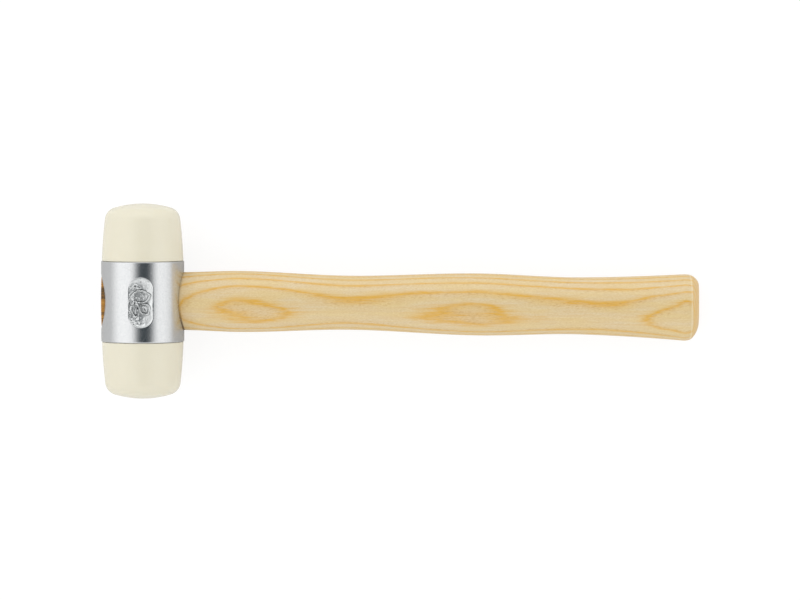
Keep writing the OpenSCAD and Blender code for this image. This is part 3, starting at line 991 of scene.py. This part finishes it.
def beech_wood(fibre, soaked):
    """The wooden wedge: beech, with its end sealed dark."""
    material, shader, spot = new_material("beech_sealed")
    streak, pore, fleck = use_group(fibre, spot)
    raw = coats(
        tint(streak, colour(176, 130, 82), colour(205, 163, 112)),
        (fleck, (150, 102, 60), 0.4),
        (pore, (122, 78, 42), 0.5))
    dark = tint(streak, colour(70, 38, 16), colour(128, 80, 38))
    end = use_group(soaked, spot, Reach=3.5)[0]
    give(shader, {
        "Base Color": tint(end, raw, dark),
        "Roughness": streak.remap(0.3, 0.7, 0.45, 0.62)})
    raise_surface(shader, streak, 0.06, 0.6)
    return material


def zinc_plate(scuffs):
    """Bead-blasted iron under bright zinc: satin and even outside, rough cast in the recess, with
    painted shade on the recess's relief and round the eye's mouth.
    """
    material, shader, spot = new_material("zinc_satin")
    cast, sand, rim = (output(spot.tree, "ShaderNodeAttribute", key="Fac", attribute_name=name)
                       for name in ("cast_skin", "cast_sand_and_shade", "eye_rim_shade"))
    cloud = spot.noise(7.0, detail=3.0)
    grit = spot.noise(0.3, detail=2.0, roughness=0.6)
    grain = spot.noise(0.9, detail=3.0, roughness=0.7)
    pits = spot.noise(0.8, detail=3.0, roughness=0.65)
    lines = use_group(scuffs, spot, Turn=0.55, Width=0.16)[0]
    satin = coats(
        tint(cloud, colour(209, 210, 211), colour(214, 215, 215)),
        (grain.remap(0.35, 0.75), (184, 187, 190), 0.4),
        (lines, (150, 152, 154), 0.16),
        # Painted shade round the eye's mouth
        (rim, (98, 98, 96), 0.36))
    raw = coats(
        tint(pits.remap(0.3, 0.6), colour(208, 210, 210), colour(222, 224, 224)),
        # Sand in the casting, with painted shade on the relief and a patch of painted shade
        (sand, (52, 56, 58), 0.95))
    give(shader, {
        "Base Color": tint(cast, satin, raw),
        "Metallic": 1.0,
        "Roughness": cloud * 0.05 + 0.21 + lines * 0.05 + sand * 0.2 + cast * 0.09})
    height = grit * (1.0 - cast) + pits * cast * 1.6 - lines * 0.2
    raise_surface(shader, height, 0.014, 0.6)
    return material


def turned_nylon(scuffs):
    """Natural nylon, turned: ivory, a little see-through at its edges, with faint lathe rings."""
    material, shader, spot = new_material("nylon_turned")
    cloud = spot.noise(14.0, detail=2.0)
    specks = spot.noise(0.9, detail=2.0)
    lines = use_group(scuffs, spot, Turn=0.9, Width=0.2)[0]
    ivory = coats(
        tint(cloud, colour(223, 217, 196), colour(227, 222, 202)),
        (specks.remap(0.68, 0.8), (214, 207, 182), 0.35),
        (lines, (206, 200, 180), 0.12))
    give(shader, {
        "Base Color": ivory,
        "Roughness": cloud * 0.08 + 0.21,
        "Subsurface Weight": 0.15,
        "Subsurface Radius": (1.0, 0.9, 0.7),
        "Subsurface Scale": 2 * MM})
    _, y, _ = spot.axes()
    lathe = output(spot.tree, "ShaderNodeCombineXYZ", {0: y})
    rings = lathe.noise((0.35, 1.0, 1.0), detail=2.0)
    raise_surface(shader, rings - lines * 0.4, 0.02, 0.4)
    return material


def wedge_steel(scuffs):
    """Bare mild steel, darkened by its heat treatment and the sealer."""
    material, shader, spot = new_material("wedge_steel_dark")
    cloud = spot.noise(1.6, detail=4.0, roughness=0.6)
    lines = use_group(scuffs, spot, Turn=0.2, Width=0.1)[0]
    steel = tint(cloud.remap(0.35, 0.68), colour(168, 168, 170), colour(104, 98, 92))
    give(shader, {
        "Base Color": coats(steel, (lines, (200, 200, 202), 0.4)),
        "Metallic": 1.0,
        "Roughness": cloud.remap(0.3, 0.7, 0.34, 0.55)})
    raise_surface(shader, cloud - lines * 0.5, 0.03, 0.5)
    return material


# Stage

CAMERA_LEAN = math.radians(2.6)
CAMERA_DISTANCE = 3.3
CAMERA_TARGET = Vector((155.0, 0.6, 0.0))
FRAME_WIDTH_MM = 482.0
SENSOR_MM = 36.0
SKY_LIGHT = 1.35
# The dark opening of the light tent: its lean to the handle, and where its edge starts and ends
OPENING_LEAN = math.radians(7.1)
OPENING_START, OPENING_END = math.radians(12.5), math.radians(40)
OPENING_TINT = (0.007, 0.022, 0.032, 1.0)
# How much brighter the tent is towards the far side of the head and towards +Y
SKY_SLOPE = Vector((-0.04, 0.13, 0.0))
# How bright the foot of the tent is to the sides of the handle, how much brighter to the butt than
# to the head, how much darker to both of these, and the heights between which its shade fades
TENT_FOOT, TENT_FOOT_SLOPE, TENT_FOOT_DIP = 0.86, 0.08, 0.12
TENT_FOOT_LOW, TENT_FOOT_TOP = -0.05, math.sin(math.radians(30))
FLOOR_SIZE = 60.0
# White of the table as lit paint and as its own light: as it lights the hammer, as the metal
# mirrors it, and as the camera sees it
TABLE_LIT, TABLE_MIRRORED, TABLE_SEEN = (0.96, 0.03), (0.6, 0.12), (0.2, 0.84)


def camera():
    """The photograph's view: straight down on the recess side, leaning a little to +Y."""
    back = REST_TURN.to_3x3() @ Vector((0, math.sin(CAMERA_LEAN), math.cos(CAMERA_LEAN)))
    right = REST_TURN.to_3x3() @ Vector((1, 0, 0))
    up = back.cross(right)
    data = bpy.data.cameras.new("camera")
    data.sensor_width = SENSOR_MM
    data.lens = SENSOR_MM * CAMERA_DISTANCE / (FRAME_WIDTH_MM * MM)
    data.clip_end = 2 * FLOOR_SIZE
    view = bpy.data.objects.new("camera", data)
    turn = Matrix((right, up, back)).transposed().to_4x4()
    view.matrix_world = Matrix.Translation(TO_ROW @ CAMERA_TARGET + back * CAMERA_DISTANCE) @ turn
    bpy.context.scene.collection.objects.link(view)
    bpy.context.scene.camera = view


def light_tent():
    """A white tent all round, with the dark opening that the camera looks through. The camera
    itself sees plain white."""
    world = bpy.data.worlds.new("light_tent")
    bpy.context.scene.world = world
    world.use_nodes = True
    tree = world.node_tree
    look = output(tree, "ShaderNodeTexCoord", key="Generated")
    opening = Vector((math.tan(OPENING_LEAN), math.tan(CAMERA_LEAN), 1)).normalized()
    angle = look.dot(REST_TURN.to_3x3() @ opening).maths("ARCCOSINE")
    to_butt, _, height = look.axes()
    foot = to_butt * (to_butt * -TENT_FOOT_DIP + TENT_FOOT_SLOPE) + TENT_FOOT
    shade = height.remap(TENT_FOOT_LOW, TENT_FOOT_TOP, foot, 1.0)
    cloth = (look.dot(SKY_SLOPE) * SKY_LIGHT + SKY_LIGHT) * shade
    white = output(tree, "ShaderNodeCombineColor", {0: cloth, 1: cloth, 2: cloth})
    tent = tint(angle.remap(OPENING_START, OPENING_END), OPENING_TINT, white)
    seen = output(tree, "ShaderNodeLightPath", key="Is Camera Ray")
    feed(tree.nodes["Background"].inputs["Color"], tint(seen, tent, (1.0, 1.0, 1.0, 1.0)))


def table_white(tree, lit, own):
    """White that is part lit paint and part its own light."""
    paint = output(tree, "ShaderNodeBsdfDiffuse", {"Color": (lit, lit, lit, 1)})
    glow = output(tree, "ShaderNodeEmission", {"Strength": own})
    return output(tree, "ShaderNodeAddShader", {0: paint, 1: glow})


def white_floor():
    """A plain white table. What the camera sees of it is mostly its own white, and so, less, is
    what the metal sees; the rest of it takes the hammer's shadow."""
    half = FLOOR_SIZE / 2
    mesh = bpy.data.meshes.new("floor")
    corners = [(-half, -half, 0), (half, -half, 0), (half, half, 0), (-half, half, 0)]
    mesh.from_pydata(corners, [], [(0, 1, 2, 3)])
    floor = bpy.data.objects.new("floor", mesh)
    bpy.context.scene.collection.objects.link(floor)
    material = bpy.data.materials.new("white_table")
    material.use_nodes = True
    tree = material.node_tree
    tree.nodes.remove(tree.nodes["Principled BSDF"])
    path = place(tree, "ShaderNodeLightPath").outputs
    mirrored = Signal(path["Is Glossy Ray"]).maths("MAXIMUM", path["Is Transmission Ray"])
    white = table_white(tree, *TABLE_LIT)
    for ray, other in ((mirrored, TABLE_MIRRORED), (path["Is Camera Ray"], TABLE_SEEN)):
        inputs = {0: ray, 1: white, 2: table_white(tree, *other)}
        white = output(tree, "ShaderNodeMixShader", inputs)
    feed(tree.nodes["Material Output"].inputs["Surface"], white)
    mesh.materials.append(material)


# The scene

camera()
light_tent()
white_floor()
bpy.context.scene.view_settings.view_transform = "Standard"

wood_fibre, soaked_end, scuffs = wood_fibre_group(), soaked_end_group(), scuff_group()
nylon = turned_nylon(scuffs)
head_body(zinc_plate(scuffs))
face("nylon_face_left", "left_face", -1, nylon)
face("nylon_face_right", "right_face", 1, nylon)
handle(ash_wood(wood_fibre, soaked_end))
beech, steel = beech_wood(wood_fibre, soaked_end), wedge_steel(scuffs)
node_finishes = {"wooden_wedge": beech, "left_steel_wedge": steel, "right_steel_wedge": steel}
for node, finish in node_finishes.items():
    for material_slot in frame["nodes"][node].material_slots:
        material_slot.material = finish
